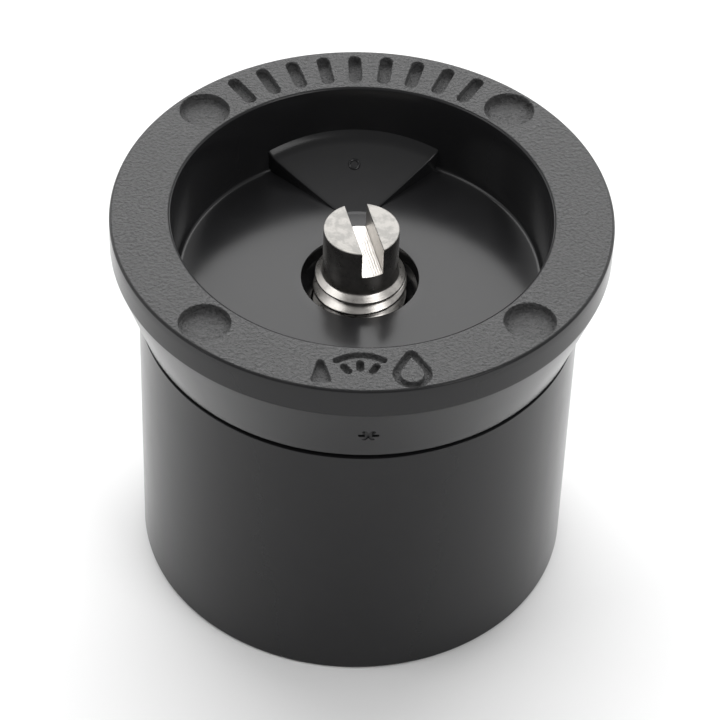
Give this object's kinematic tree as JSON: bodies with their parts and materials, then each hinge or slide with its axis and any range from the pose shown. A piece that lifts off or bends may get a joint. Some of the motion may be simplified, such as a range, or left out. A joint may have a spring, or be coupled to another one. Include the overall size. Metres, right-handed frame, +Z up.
{
  "type": "pop-up sprinkler spray nozzle",
  "caption": "Quarter-circle spray nozzle for a pop-up sprinkler: flanged black cap with a bowl, skirt with an inside riser thread, and a slotted steel adjusting screw.",
  "frame": {"origin": "centre of the base rim, on the plane the nozzle stands on", "axes": "+Z up along the nozzle's axis, +Y towards the middle of the watered quarter circle, +X to the right when looking along +Y"},
  "size_m": [0.022, 0.022, 0.0191],
  "materials": {
    "body_plastic": "smooth black moulded plastic, lightly glossy",
    "cap_plastic": "black moulded plastic with a fine matte texture on top",
    "screw_steel": "bright turned stainless steel"
  },
  "bodies": {
    "nozzle": {"nozzle_body": "body_plastic", "deflector_cap": "cap_plastic"},
    "throttle": {"throttle_tip": "screw_steel"},
    "screw": {"adjusting_screw": "screw_steel"}
  },
  "joints": [
    {"name": "screw_travel", "type": "slide", "parent": "nozzle", "child": "throttle", "axis": [0, 0, -1], "range_m": [-0.00079, 0.00318]},
    {"name": "screw_turn", "type": "hinge", "parent": "throttle", "child": "screw", "pos_m": [0, 0, 0.0115], "axis": [0, 0, -1], "range_deg": [-360, 1440]}
  ],
  "couplings": [
    {"joint": "screw_turn", "follows": "screw_travel", "rad_per_m": 7913.3}
  ]
}
